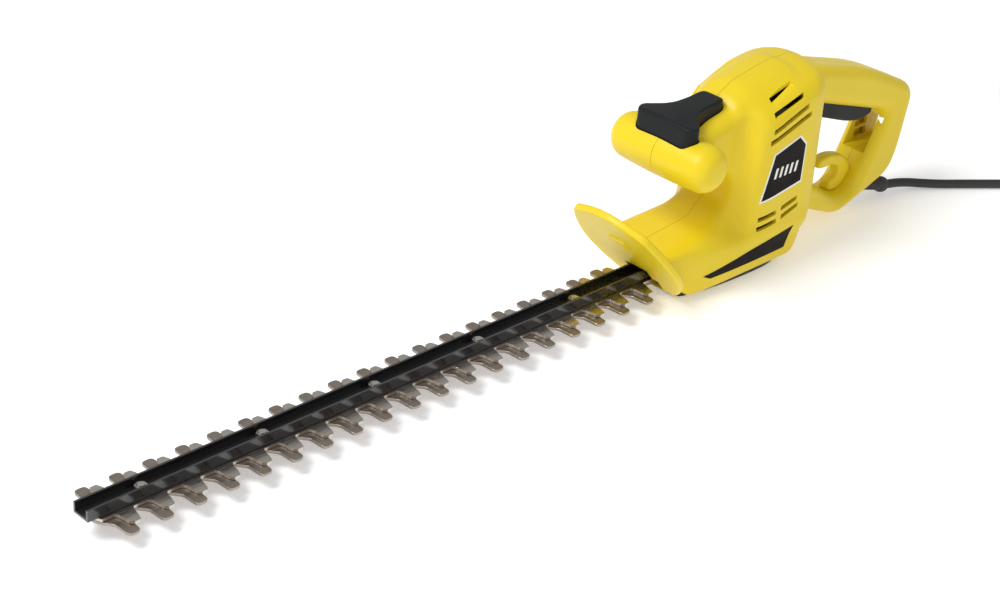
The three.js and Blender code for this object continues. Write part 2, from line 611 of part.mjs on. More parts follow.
function addHousingScrews() {
  screwPlaces.forEach(([x, z], i) => {
    const head = across(SCREW_HEAD_R, x, z, SCREW_HEAD_Y, SCREW_HEAD_Y + 2.4, 14);
    const shank = across(SCREW_R, x, z, -SCREW_DEPTH, SCREW_HEAD_Y + 1, 10);
    add(`housing_screw_${i + 1}`, head.add(shank), ZINC);
  });
}

// ---------------------------------------------------------------- guard, sole and controls
function addGuard() {
  const outline = curved(mirrored([[26, -3.4, 4], [39, 12, 12], [GUARD_HALF, 33, 16],
    [GUARD_HALF - 4, 56, 12], [33, 75, 4], [10, 86, 16]]));
  const emblem = section(curved([[-8, 46, 2], [8, 46, 2], [8, 58, 2], [-8, 58, 2]]), -1.2, 1);
  const lean = THREE.MathUtils.radToDeg(GUARD_LEAN);
  const made = section(outline, 0, GUARD_THICKNESS).add(emblem).rotate([0, -lean, 0])
    .translate([GUARD_FOOT[0], 0, GUARD_FOOT[1]]);
  const passage = box(-120, -40, -CHANNEL_HALF - 3.5, CHANNEL_HALF + 3.5, LOWER_BLADE_Z - 3.5,
    CHANNEL_TOP + 1.5);
  const teeth = box(-120, -40, -16, 16, LOWER_BLADE_Z - 3.5, UPPER_TOP + 1.5);
  add("hand_guard", without(made, passage, teeth), YELLOW);
}

const SOLE_SCREWS = [[-50, -17], [-50, 17], [38, -21], [38, 21]];

function addSole() {
  const outline = curved([[-60, -21, 6], [-30, -27, 20], [10, -29, 20], [36, -28, 14],
    [46, -20, 8], [46, 20, 8], [36, 28, 14], [10, 29, 20], [-30, 27, 20], [-60, 21, 6]], 3);
  const heads = SOLE_SCREWS.map(([x, y]) => upright(SCREW_HEAD_R + GAP, x, y, -1, 2.6, 14));
  const holes = SOLE_SCREWS.map(([x, y]) => upright(SCREW_R + GAP, x, y, 1, 6, 12));
  add("sole_plate", without(plan(outline, 0, SOLE_THICKNESS), ...heads, ...holes), BLACK_PLASTIC);
  SOLE_SCREWS.forEach(([x, y], i) => {
    const head = upright(SCREW_HEAD_R, x, y, 0.3, 2.3, 14);
    add(`sole_screw_${i + 1}`, head.add(upright(SCREW_R, x, y, 1, 13, 10)), ZINC);
  });
}

function soleBosses() {
  return SOLE_SCREWS.map(([x, y]) => upright(SCREW_R + BOSS_WALL, x, y, HOUSING_FLOOR, 15, 12));
}

function addFrontLever() {
  const profile = curved([[-72.5, 117.5, 2], [-60, 116, 6], [-20, 119, 4], [-15.5, 126, 4],
    [-17, 137.5, 5], [-40, 136, 12], [-62, 134, 6], [-71, 133.5, 3]]);
  const body = side(profile, -40, 40).intersect(plan(curved(LEVER_PLAN), 100, 160));
  const barrel = across(3, ...LEVER_HINGE, -14, 14, 16);
  add("front_lever", body.add(barrel), SOFT_BLACK);
}

const TRIGGER_HINGE = [90, 113.5];
function addTrigger() {
  const half = TRIGGER_SLOT.halfY - 0.8;
  const profile = curved([[87, 96, 3], [140, 76, 20], [160, 79, 4], [160, 91, 2], [120, 105, 4],
    [92, 114, 3]]);
  const barrel = across(3, ...TRIGGER_HINGE, -13, 13, 16);
  add("trigger", side(profile, -half, half).add(barrel), SOFT_BLACK);
}

function addSwitches() {
  const button = box(120, 126, -3, 3, 107, 112);
  const rear = box(111, 135, -8, 8, 111, 119);
  add("rear_switch", rear.add(button), BLACK_PLASTIC);
  const plunger = box(-33, -28, -3, 3, 109, 117.4);
  add("front_switch", box(-36, -16, -8, 8, 98.5, 110).add(plunger), BLACK_PLASTIC);
  add("capacitor", box(32, 46, -14, 14, 9, 20), BRASS);
}

// A coil spring along Z, as one tube.
function spring(x, z0, z1, r, wire, turns) {
  class Helix extends THREE.Curve {
    getPoint(t) {
      const a = 2 * Math.PI * turns * t;
      const z = z0 + wire + (z1 - z0 - 2 * wire) * t;
      return new THREE.Vector3(x + r * Math.cos(a), r * Math.sin(a), z);
    }
  }
  return tube(new Helix(), wire, turns * 9, 5);
}

function tube(path, radius, steps, sides) {
  const rim = new THREE.Shape(
    Array.from({ length: sides }, (_, i) => {
      const a = (2 * Math.PI * i) / sides;
      return new THREE.Vector2(radius * Math.cos(a), radius * Math.sin(a));
    }),
  );
  return solid(new THREE.ExtrudeGeometry(rim, { extrudePath: path, steps, bevelEnabled: false }));
}

function addSprings() {
  add("trigger_spring", spring(146, 97.5, 112.6, 3.5, 0.6, 4), STEEL);
  add("lever_spring", spring(-46, 95.2, 115.6, 3.5, 0.6, 5), STEEL);
}

// A finger over a small lug on the handle's floor, which holds the loop of the extension lead.
function addCordHook() {
  const profile = curved([[124, 16], [150, 16], [149, 36, 4], [138, 48, 6], [122, 52, 5],
    [111, 50, 4], [109, 44, 3], [116, 43, 3], [126, 43, 3], [134, 38, 4], [134, 31, 3],
    [126, 29, 2]]);
  const room = side(curved(inset(HANDLE_OPENING, GAP)), -8, 8);
  add("cord_hook", side(profile, -5, 5).intersect(room), YELLOW);
}

// ---------------------------------------------------------------- cord
// The pigtail's route, chosen by hand.
const CORD_ROUTE = [[193.5, -9.5, 8.1], [203, -12.3, 7.5], [213, -16, 6.2], [224, -22, 4.6],
  [236, -30.5, 3.8], [250, -40.5, 3.6], [266, -52.5, 3.6], [283, -65, 3.6], [300, -75, 3.6],
  [318, -79.5, 3.6], [336, -76.5, 3.6], [351, -66, 3.6], [363, -53, 3.6], [375, -40, 4],
  [387, -27.5, 5.6], [399, -15.3, 7.6], [411, -3.2, 8.2], [421, 6.8, 8.2]];
const CORD_SEGMENTS = 56;

function addCord() {
  const end = RELIEF_LENGTH;
  const profile = curved([[0, 0], [RELIEF_FLANGE_R, 0], [RELIEF_FLANGE_R, 3], [RELIEF_R, 3],
    [RELIEF_R - 0.2, 20], [RELIEF_R - 0.5, end - 9], [6, end - 9], [6, end - 3], [4.2, end],
    [0, end]]);
  const relief = solid(new THREE.LatheGeometry(profile, 16)).rotate([0, 0, -90])
    .rotate(RELIEF_TURN).translate(RELIEF_PLACE);
  add("strain_relief", relief, RUBBER);
  const route = new THREE.CatmullRomCurve3(CORD_ROUTE.map((point) => new THREE.Vector3(...point)));
  add("cord", tube(route, CORD_R, CORD_SEGMENTS, 8), RUBBER);
}

// A moulded two-pin plug, lying where the route ends.
function addPlug() {
  const cuff = solid(new THREE.LatheGeometry(curved([[0, 0], [4.5, 0], [6.5, 14], [0, 14]]), 12))
    .rotate([0, 0, -90]);
  const body = section(curved([[-17, -7.5, 5], [17, -7.5, 5], [17, 7.5, 5], [-17, 7.5, 5]]), 13, 44);
  const pins = [-9.5, 9.5].map((y) => lengthwise(2.4, 2.4, y, 0, 43, 62, 12));
  const [x, y, z] = CORD_ROUTE.at(-1);
  const reach = GAP * Math.SQRT1_2;
  const plug = joined(cuff, body, ...pins).rotate([0, 0, 45]);
  add("plug", plug.translate([x + reach, y + reach, z]), RUBBER);
}

addBlades();
addChannel();
addBladeBolts();
addDriveGear();
addGearPlate();
addRotor();
addMotor();
addHousing();
addHousingScrews();
addGuard();
addSole();
addFrontLever();
addTrigger();
addSwitches();
addSprings();
addCordHook();
addCord();
addPlug();

export default part;
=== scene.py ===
from math import cos, pi, radians, sin

import bmesh
import bpy
import numpy as np
from mathutils import Matrix, Vector
from mathutils.bvhtree import BVHTree


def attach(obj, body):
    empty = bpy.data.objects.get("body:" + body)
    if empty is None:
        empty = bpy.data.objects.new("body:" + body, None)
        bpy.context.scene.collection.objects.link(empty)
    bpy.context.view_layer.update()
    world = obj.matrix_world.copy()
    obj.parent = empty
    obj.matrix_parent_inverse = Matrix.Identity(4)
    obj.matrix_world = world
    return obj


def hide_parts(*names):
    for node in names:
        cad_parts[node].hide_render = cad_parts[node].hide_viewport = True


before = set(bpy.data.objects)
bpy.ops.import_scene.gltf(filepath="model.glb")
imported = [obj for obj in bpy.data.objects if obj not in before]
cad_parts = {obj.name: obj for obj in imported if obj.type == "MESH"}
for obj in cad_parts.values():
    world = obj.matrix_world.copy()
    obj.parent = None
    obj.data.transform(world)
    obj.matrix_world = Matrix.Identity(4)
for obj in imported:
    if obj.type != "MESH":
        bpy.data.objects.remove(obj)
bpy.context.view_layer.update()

MM = 0.001

# ---------------------------------------------------------------- camera, floor and light
# A long lens looks down on the tool from in front of its blade and to its left, over a
# white sweep lit by two large soft boxes.
aim = Vector((-0.176, 0.039, 0.013))
camera_data = bpy.data.cameras.new("camera")
camera_data.sensor_width = 36
camera_data.lens = 81.06
camera = bpy.data.objects.new("camera", camera_data)
bpy.context.scene.collection.objects.link(camera)
turn = Matrix.Rotation(radians(-45.83), 4, "Z") @ Matrix.Rotation(radians(90 - 29.33), 4, "X")
turn = turn @ Matrix.Rotation(radians(4.0), 4, "Z")
camera.matrix_world = Matrix.Translation(aim + turn.to_3x3() @ Vector((0, 0, 1.54))) @ turn
bpy.context.scene.camera = camera
bpy.context.scene.view_settings.view_transform = "Standard"


def link(name, mesh):
    piece = bpy.data.objects.new(name, mesh)
    bpy.context.scene.collection.objects.link(piece)
    return piece


def nodes_of(name):
    """A new material's node tree with its Principled shader, and the material."""
    material = bpy.data.materials.new(name)
    material.use_nodes = True
    tree = material.node_tree
    return material, tree, tree.nodes["Principled BSDF"]


floor_mesh = bpy.data.meshes.new("floor")
floor_mesh.from_pydata([(-6, -6, 0), (6, -6, 0), (6, 6, 0), (-6, 6, 0)], [], [(0, 1, 2, 3)])
floor = link("floor", floor_mesh)
sweep, tree, shader = nodes_of("white_sweep")
shader.inputs["Base Color"].default_value = (0.9, 0.9, 0.9, 1)
shader.inputs["Emission Color"].default_value = (1, 1, 1, 1)
shader.inputs["Emission Strength"].default_value = 0.3
shader.inputs["Roughness"].default_value = 0.6
floor_mesh.materials.append(sweep)

world = bpy.data.worlds.new("studio")
world.use_nodes = True
world.node_tree.nodes["Background"].inputs["Color"].default_value = (1, 1, 1, 1)
world.node_tree.nodes["Background"].inputs["Strength"].default_value = 0.5
bpy.context.scene.world = world


def soft_box(name, place, target, size, power):
    lamp = bpy.data.lights.new(name, "AREA")
    lamp.shape = "DISK"
    lamp.size = size
    lamp.energy = power
    holder = bpy.data.objects.new(name, lamp)
    bpy.context.scene.collection.objects.link(holder)
    way = Vector(target) - Vector(place)
    holder.rotation_euler = way.to_track_quat("-Z", "Y").to_euler()
    holder.location = place


soft_box("key", (-1.3, 0.35, 1.7), (-0.05, 0, 0.05), 1.0, 30)
soft_box("fill", (-0.7, -1.9, 1.0), (-0.1, 0, 0.05), 1.6, 5)

# ---------------------------------------------------------------- housing halves
# Two clam-shell halves injection-moulded in yellow ABS with a 2.6 mm wall. They part on the
# tool's middle plane and eight screws from the right draw them together. The halves are built
# as one smooth field of distances, meshed, hollowed and then cut.
housing_wall = 2.6
seam = 0.15  # half the gap between the halves
screw_head_r = 3.4
boss_wall = 2
head_gap = 0.3


def curved(corners, steps=6):
    """An outline through corners [u, v, radius], each rounded by a quadratic arc."""
    line = []
    for i, (u, v, *radius) in enumerate(corners):
        corner = np.array((u, v), float)
        if not radius:
            line.append(corner)
            continue
        ends = []
        for near in (corners[i - 1], corners[(i + 1) % len(corners)]):
            way = np.array(near[:2], float) - corner
            length = np.hypot(*way)
            ends.append(corner + way / length * min(radius[0], 0.48 * length))
        for t in np.linspace(0, 1, steps + 1):
            line.append(ends[0] * (1 - t) ** 2 + corner * 2 * t * (1 - t) + ends[1] * t * t)
    return np.array(line)


class Outline:
    """A closed outline's signed distance, negative inside, looked up from a fine table."""

    def __init__(self, corners, step=0.5, margin=50):
        line = curved(corners)
        self.step = step
        self.low = line.min(0) - margin
        self.size = np.ceil((line.max(0) + margin - self.low) / step).astype(int)
        u, v = np.meshgrid(*(low + step * np.arange(n) for low, n in zip(self.low, self.size)),
                           indexing="ij")
        best = np.full(u.shape, 1e9)
        inside = np.zeros(u.shape, bool)
        for a, b in zip(line, np.roll(line, -1, 0)):
            d = b - a
            t = np.clip(((u - a[0]) * d[0] + (v - a[1]) * d[1]) / max(d @ d, 1e-9), 0, 1)
            best = np.minimum(best, np.hypot(u - a[0] - t * d[0], v - a[1] - t * d[1]))
            if d[1]:
                inside ^= ((a[1] > v) != (b[1] > v)) & (u < a[0] + (v - a[1]) * d[0] / d[1])
        self.table = np.where(inside, -best, best)

    def __call__(self, u, v):
        s = np.clip((u - self.low[0]) / self.step, 0, self.size[0] - 1.001)
        t = np.clip((v - self.low[1]) / self.step, 0, self.size[1] - 1.001)
        i, j = s.astype(int), t.astype(int)
        s, t = s - i, t - j
        low = self.table[i, j] * (1 - s) + self.table[i + 1, j] * s
        high = self.table[i, j + 1] * (1 - s) + self.table[i + 1, j + 1] * s
        return low * (1 - t) + high * t


def rounded(a, b, r):
    """The overlap of two fields with its edge rounded to a radius."""
    outer = np.hypot(np.maximum(a + r, 0), np.maximum(b + r, 0))
    return outer + np.minimum(np.maximum(a + r, b + r), 0) - r


def blended(a, b, k):
    """The union of two fields with a fillet of about k."""
    h = np.maximum(k - np.abs(a - b), 0) / k
    return np.minimum(a, b) - h * h * k / 4


def net(name, field, low, high, step, relax=2):
    """The zero surface of a field in millimetres, as a closed quad mesh in metres."""
    axes = [np.arange(a, b + step, step) for a, b in zip(low, high)]
    grid = np.stack(np.meshgrid(*axes, indexing="ij"), -1)
    value = field(*np.moveaxis(grid, -1, 0))
    for axis in range(3):
        border = np.moveaxis(value, axis, 0)
        border[0] = np.maximum(border[0], 0.1)
        border[-1] = np.maximum(border[-1], 0.1)
    cells = [len(a) - 1 for a in axes]
    total = np.zeros((cells[0] * cells[1] * cells[2], 4))
    quads = []
    for axis in range(3):
        turned = np.moveaxis(value, axis, 0)
        crossing = np.moveaxis((turned[:-1] < 0) != (turned[1:] < 0), 0, axis)
        at = np.argwhere(crossing)
        unit = np.eye(3, dtype=int)[axis]
        a, b = value[tuple(at.T)], value[tuple((at + unit).T)]
        place = grid[tuple(at.T)] + (a / (a - b))[:, None] * unit * step
        ring = []
        for first, second in ((0, 0), (1, 0), (1, 1), (0, 1)):
            move = first * np.roll(unit, 1) + second * np.roll(unit, 2)
            ring.append(np.ravel_multi_index(tuple((at - move).T), cells))
            np.add.at(total, ring[-1], np.hstack([place, np.ones((len(at), 1))]))
        ring = np.stack(ring, 1)
        quads.append(np.where((a < 0)[:, None], ring, ring[:, ::-1]))
    quads = np.vstack(quads)
    used = np.flatnonzero(total[:, 3])
    index = np.zeros(len(total), int)
    index[used] = np.arange(len(used))
    quads = index[quads]
    place = total[used, :3] / total[used, 3:]
    pairs = np.vstack([quads[:, [i, (i + 1) % 4]] for i in range(4)])
    for _ in range(relax):
        near = np.zeros((len(place), 4))
        np.add.at(near, pairs[:, 0], np.hstack([place[pairs[:, 1]], np.ones((len(pairs), 1))]))
        place = place * 0.4 + near[:, :3] / near[:, 3:] * 0.6
        for _ in range(2):
            here = field(*place.T)
            slope = np.stack([field(*(place + 0.25 * d).T) - field(*(place - 0.25 * d).T)
                              for d in np.eye(3)], 1) / 0.5
            push = here / np.maximum((slope ** 2).sum(1), 0.2)
            place = place - np.clip(push, -step, step)[:, None] * slope
    mesh = bpy.data.meshes.new(name)
    mesh.from_pydata(place * MM, [], quads.tolist())
    mesh.shade_smooth()
    return mesh


def prism(corners, low, high, axes="xz", steps=4):
    """A cutter: an outline in two axes, run along the third between two levels."""
    line = curved(corners, steps)
    order = ["xyz".index(a) for a in axes]
    third = 3 - sum(order)
    mesh = bpy.data.meshes.new("cutter")
    shape = bmesh.new()
    ring = []
    for level in (low, high):
        for u, v in line:
            co = [0, 0, 0]
            co[order[0]], co[order[1]], co[third] = u * MM, v * MM, level * MM
            ring.append(shape.verts.new(co))
    n = len(line)
    for i in range(n):
        j = (i + 1) % n
        shape.faces.new((ring[i], ring[j], ring[n + j], ring[n + i]))
    shape.faces.new(ring[:n])
    shape.faces.new(ring[n:])
    bmesh.ops.recalc_face_normals(shape, faces=shape.faces)
    shape.to_mesh(mesh)
    shape.free()
    return mesh


def slab(x0, x1, y0, y1, z0, z1):
    return prism([(x0, z0), (x1, z0), (x1, z1), (x0, z1)], y0, y1)


def rod(r, start, end, sides=28):
    """A closed cylinder between two points."""
    mesh = bpy.data.meshes.new("rod")
    shape = bmesh.new()
    start, end = Vector(start) * MM, Vector(end) * MM
    turn = (end - start).to_track_quat("Z", "Y").to_matrix().to_4x4()
    bmesh.ops.create_cone(shape, cap_ends=True, segments=sides, radius1=r * MM, radius2=r * MM,
                          depth=(end - start).length,
                          matrix=Matrix.Translation((start + end) / 2) @ turn)
    shape.to_mesh(mesh)
    shape.free()
    return mesh


def carve(name, base, how):
    """The base mesh after Boolean steps, each an operation and a list of meshes."""
    for operation, tools in how:
        body = bpy.data.objects.new("base", base)
        bpy.context.scene.collection.objects.link(body)
        held = []
        for tool in tools:
            cutter = bpy.data.objects.new("tool", tool)
            bpy.context.scene.collection.objects.link(cutter)
            step = body.modifiers.new("step", "BOOLEAN")
            step.operation, step.object, step.solver = operation, cutter, "MANIFOLD"
            held.append(cutter)
        bpy.context.view_layer.update()
        base = bpy.data.meshes.new_from_object(
            body.evaluated_get(bpy.context.evaluated_depsgraph_get()))
        for spare in (body, *held):
            bpy.data.objects.remove(spare)
    base.name = name
    return base


def mirrored(half):
    return [*half, *[(-u, *rest) for u, *rest in reversed(half)]]


guard_lean = np.arctan2(54, 67)
gearbox_side = Outline([(-60.5, 5), (48, 5, 5), (68, 38, 8), (68, 58), (-24, 58, 6),
                        (-30, 48, 8), (-90.3, 42)])
gearbox_plan = Outline([(-95, -28), (-30, -37, 20), (10, -38, 20), (52, -36, 14), (69, -26, 10),
                        (69, 26, 10), (52, 36, 14), (10, 38, 20), (-30, 37, 20), (-95, 28)])
gearbox_section = Outline(mirrored([(34, 5, 3), (38, 20, 8), (38, 34, 6), (25, 47, 8),
                                    (10, 59, 6)]))
pod_side = Outline([(-14, 30, 6), (60, 28, 4), (74, 52, 10), (74, 140, 12), (64, 151, 16),
                    (26, 146.5, 20), (-4, 141, 8)])
pod_plan = Outline([(-22, -25, 10), (0, -38, 14), (58, -38, 12), (75, -25, 12), (75, 25, 12),
                    (58, 38, 12), (0, 38, 14), (-22, 25, 10)])
arm_side = Outline([(40, 50), (40, 146), (28, 145, 8), (8, 141.5, 8), (-12, 138, 3),
                    (-17, 132, 4), (-62, 123, 10), (-76, 108, 6), (-62, 92, 8), (-34, 92, 16),
                    (-13, 82, 14), (-14, 60, 10), (-28, 47, 6), (0, 44)])
arm_section = Outline(mirrored([(21, 40), (22, 135, 8), (12, 160, 6)]))
handle_side = Outline([(66, 30), (90, 19.2, 8), (126.5, 3.6, 10), (184, 22, 12), (193.5, 38, 14),
                       (203.8, 91, 13), (146, 118.8, 20), (84, 137, 8), (66, 138.5)])
handle_opening = Outline([(79, 50, 6), (122, 20.5, 10), (140, 20.5, 10), (157, 48, 14),
                          (171, 78, 8), (79, 109, 6)])
bar_place = (-61, 106)
bar_half = 45.5


def shell_field(x, y, z):
    y = np.abs(y)
    gearbox = rounded(gearbox_plan(x, y), gearbox_section(y, z), 3)
    gearbox = rounded(gearbox, gearbox_side(x, z), 4)
    bend = np.interp(x, (0, 34), (0.0145, 0.0085))
    droop = bend * y * y * np.clip((z - 92) / 30, 0, 1)
    pod = rounded(pod_side(x, z + droop), pod_plan(x, y), 8)
    arm = rounded(arm_side(x, z + droop), arm_section(y, z), 5)
    loop = np.maximum(handle_side(x, z), -handle_opening(x, z))
    loop = rounded(loop, y - 17, 9)
    across = np.hypot(x - bar_place[0], z - bar_place[1])
    bar = rounded(across - 18 + 0.0009 * y * y, y + 0.011 * across ** 2 - bar_half, 8)
    body = blended(pod, arm, 11)
    body = blended(body, gearbox, 9)
    body = blended(body, bar, 8)
    return blended(body, loop, 8)


def outer_half(x, y, z):
    return np.maximum(shell_field(x, y, z), -y - 4.5)


def inner_half(x, y, z):
    return np.maximum(shell_field(x, y, z) + housing_wall, -y - 6)


room = ((-100, -9, -3), (216, 51, 160))
outer_mesh = net("outer", outer_half, *room, 1.5)
inner_mesh = net("inner", inner_half, *room, 2.2)
screw_places = [(-70, 33), bar_place, (-2, 126), (64, 137), (64, 40), (104, 124), (193, 86),
                (180, 31)]
sole_screws = [(-50, 17), (38, 21)]
bosses = [rod(screw_head_r + boss_wall, (x, -20, z), (x, 60, z)) for x, z in screw_places]
bosses += [rod(3.7, (x, y, 0), (x, y, 15)) for x, y in sole_screws]
bosses += [slab(150, 215, -20, 12.6, 43.4, 76.6)]
vent_rows = [(10, 134, 33, 142, 4), (8, 126, 37, 135, 4), (6, 115, 41, 127, 4),
             (4, 107, 45, 120, 4), (1, 48, 19, 50, 3.6), (0, 41, 20, 43, 3.6),
             (24, 51, 41, 55, 3.6), (25, 44, 43, 49, 3.6)]
cuts = [slab(-150, 260, -60, seam, -30, 200)]
for x0, z0, x1, z1, height in vent_rows:
    cuts.append(prism([(x0, z0 - height / 2, 1), (x1, z1 - height / 2, 1),
                       (x1, z1 + height / 2, 1), (x0, z0 + height / 2, 1)], 24, 90))
lever_gap = [(-73, -22.4, 4), (-63, -28.8, 5), (-50.6, -13.6, 8), (-38, -10.6, 8),
             (-15.4, -11.1, 9), (-15.4, 11.1, 9), (-38, 10.6, 8), (-50.6, 13.6, 8),
             (-63, 28.8, 5), (-73, 22.4, 4)]
relief_turn = Matrix.Rotation(radians(-16), 3, "Z") @ Matrix.Rotation(radians(11.4), 3, "Y")
relief_start = Vector((144, 4.7, 18.3))
relief_way = relief_turn @ Vector((1, 0, 0))
cuts += [
    slab(-110, -52, -20, 10.5, 9, 24.2),
    prism([(82, 90), (164, 70), (166, 92), (82, 117)], -20, 10.5),
    prism(lever_gap, 113, 165, "xy"),
    slab(150, 215, -20, 10, 46, 74),
    rod(5.1, relief_start, relief_start + relief_way * 60),
]
for low in (47.5, 56.5, 65.5):
    cuts.append(slab(168, 182, 5, 13.6, low, low + 7))
right_cuts = [rod(screw_head_r + head_gap, (x, 11.7, z), (x, 60, z)) for x, z in screw_places]
right_cuts += [rod(2, (x, -1, z), (x, 20, z), 16) for x, z in screw_places]

core = carve("core", inner_mesh, [("DIFFERENCE", bosses)])
half_mesh = carve("half", outer_mesh, [("DIFFERENCE", [core, *cuts])])
right_mesh = carve("right_shell", half_mesh.copy(), [("DIFFERENCE", right_cuts)])
left_mesh = half_mesh
left_mesh.name = "left_shell"
left_mesh.transform(Matrix.Scale(-1, 4, (0, 1, 0)))
left_mesh.flip_normals()


def set_sharp(mesh, angle):
    """Marks edges sharper than the angle, so that the shading breaks there."""
    shape = bmesh.new()
    shape.from_mesh(mesh)
    for edge in shape.edges:
        edge.smooth = len(edge.link_faces) == 2 and edge.calc_face_angle(0) < radians(angle)
    for face in shape.faces:
        face.smooth = True
    shape.to_mesh(mesh)
    shape.free()


def effect_group(name, sockets):
    """An empty node group with the given output sockets and a Size input."""
    group = bpy.data.node_groups.new(name, "ShaderNodeTree")
    group.interface.new_socket("Size", in_out="INPUT", socket_type="NodeSocketFloat")
    for label in sockets:
        kind = "NodeSocketVector" if label == "Normal" else "NodeSocketFloat"
        group.interface.new_socket(label, in_out="OUTPUT", socket_type=kind)
    return group, group.nodes.new("NodeGroupInput"), group.nodes.new("NodeGroupOutput")


def noise_into(tree, vector, scale, detail=3):
    made = tree.nodes.new("ShaderNodeTexNoise")
    made.inputs["Scale"].default_value = scale
    made.inputs["Detail"].default_value = detail
    tree.links.new(vector, made.inputs["Vector"])
    return made.outputs["Fac"]


def spread_over(tree, value, low, high):
    made = tree.nodes.new("ShaderNodeMapRange")
    made.inputs["From Min"].default_value = 0.3
    made.inputs["From Max"].default_value = 0.7
    made.inputs["To Min"].default_value = low
    made.inputs["To Max"].default_value = high
    tree.links.new(value, made.inputs["Value"])
    return made.outputs["Result"]


def mixed(tree, factor, first, second):
    made = tree.nodes.new("ShaderNodeMix")
    made.data_type = "RGBA"
    made.inputs["A"].default_value = first
    made.inputs["B"].default_value = second
    tree.links.new(factor, made.inputs["Factor"])
    return made.outputs["Result"]


# The fine spark-eroded grain of moulded plastic: the height of the grain, and a slow change
# of gloss where the melt flowed.
grain, inlet, outlet = effect_group("moulded_grain", ["Height", "Roughness"])
coords = grain.nodes.new("ShaderNodeTexCoord").outputs["Object"]
fine = grain.nodes.new("ShaderNodeTexNoise")
fine.inputs["Detail"].default_value = 4
grain.links.new(coords, fine.inputs["Vector"])
grain.links.new(inlet.outputs["Size"], fine.inputs["Scale"])
grain.links.new(fine.outputs["Fac"], outlet.inputs["Height"])
grain.links.new(spread_over(grain, noise_into(grain, coords, 35), 0.34, 0.46),
                outlet.inputs["Roughness"])


def moulded(name, colour, deep, size=1500, strength=0.12, gloss=0.06):
    """Grained plastic whose colour is a little deeper in broad random patches along the flow."""
    material, tree, shader = nodes_of(name)
    effect = tree.nodes.new("ShaderNodeGroup")
    effect.node_tree = grain
    effect.inputs["Size"].default_value = size
    place = tree.nodes.new("ShaderNodeTexCoord").outputs["Object"]
    shade = spread_over(tree, noise_into(tree, place, 9), 0.0, 0.35)
    tree.links.new(mixed(tree, shade, colour, deep), shader.inputs["Base Color"])
    tree.links.new(effect.outputs["Roughness"], shader.inputs["Roughness"])
    bump = tree.nodes.new("ShaderNodeBump")
    bump.inputs["Strength"].default_value = strength
    bump.inputs["Distance"].default_value = 0.0002
    tree.links.new(effect.outputs["Height"], bump.inputs["Height"])
    tree.links.new(bump.outputs["Normal"], shader.inputs["Normal"])
    shader.inputs["Coat Weight"].default_value = gloss
    shader.inputs["Coat Roughness"].default_value = 0.25
    return material


yellow = moulded("yellow_plastic", (0.80, 0.61, 0.014, 1), (0.75, 0.54, 0.009, 1))
yellow.node_tree.nodes["Principled BSDF"].inputs["Specular IOR Level"].default_value = 0.3
yellow.node_tree.nodes["Principled BSDF"].inputs["Subsurface Weight"].default_value = 0.06
yellow.node_tree.nodes["Principled BSDF"].inputs["Subsurface Radius"].default_value = (
    0.003, 0.0015, 0.0004)
set_sharp(left_mesh, 42)
set_sharp(right_mesh, 42)
left_shell = link("left_shell", left_mesh)
right_shell = link("right_shell", right_mesh)
for shell, node in ((left_shell, "left_housing"), (right_shell, "right_housing")):
    shell.data.materials.clear()
    shell.data.materials.append(yellow)
    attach(shell, "housing")
    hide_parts(node)

# ---------------------------------------------------------------- hand guard
# A flat shield with a rounded outline, moulded in the same yellow ABS, that leans forward over
# the blade. Its foot clips round the blade's root, and a small raised badge stands in its
# middle.
guard_foot = Vector((-70, 0, 8))
guard_outline = Outline(mirrored([(26, -3.4, 4), (39, 12, 12), (45, 33, 16), (41, 56, 12),
                                  (33, 75, 4), (10, 86, 16)]))
guard_badge = Outline([(-8, 46, 1.5), (8, 46, 1.5), (8, 58, 1.5), (-8, 58, 1.5)])


def guard_field(x, y, z):
    sheet = rounded(guard_outline(y, z), np.abs(x - 2.75) - 2.75, 1.6)
    badge = rounded(guard_badge(y, z), np.abs(x) - 1.3, 0.7)
    return np.minimum(sheet, badge)


guard_mesh = net("guard", guard_field, (-4, -48, -6), (8, 48, 89), 0.9)
guard_mesh.transform(Matrix.Translation(guard_foot * MM)
                     @ Matrix.Rotation(-float(guard_lean), 4, "Y"))
guard_mesh = carve("guard", guard_mesh, [("DIFFERENCE", [
    slab(-120, -40, -10.5, 10.5, 7, 24.2), slab(-120, -40, -16, 16, 7, 16.3)])])
set_sharp(guard_mesh, 42)
guard = link("guard", guard_mesh)
guard_mesh.materials.clear()
guard_mesh.materials.append(yellow)
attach(guard, "housing")
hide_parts("hand_guard")

# ---------------------------------------------------------------- front lever
# The two-hand switch lever on top of the front grip, a T-shaped cap in soft black plastic. It
# turns on a barrel at its rear end and presses a switch inside the arm.
soft_black = moulded("soft_black", (0.013, 0.0145, 0.0155, 1), (0.009, 0.010, 0.011, 1), 1100,
                     0.3, 0)
soft_black.node_tree.nodes["Principled BSDF"].inputs["Specular IOR Level"].default_value = 0.14
lever_side = Outline([(-72.5, 117.5, 2), (-60, 116, 6), (-20, 119, 4), (-15.8, 126, 4),
                      (-17, 138, 4), (-40, 136.5, 12), (-62, 134.8, 6), (-70.5, 134.2, 2)])
lever_top = Outline([(-72.5, -22, 4), (-63, -28, 5), (-51, -13, 8), (-38, -10, 8),
                     (-16, -10.5, 9), (-16, 10.5, 9), (-38, 10, 8), (-51, 13, 8),
                     (-63, 28, 5), (-72.5, 22, 4)])


def lever_field(x, y, z):
    return rounded(lever_side(x, z + 0.002 * y * y), lever_top(x, y), 1.5)


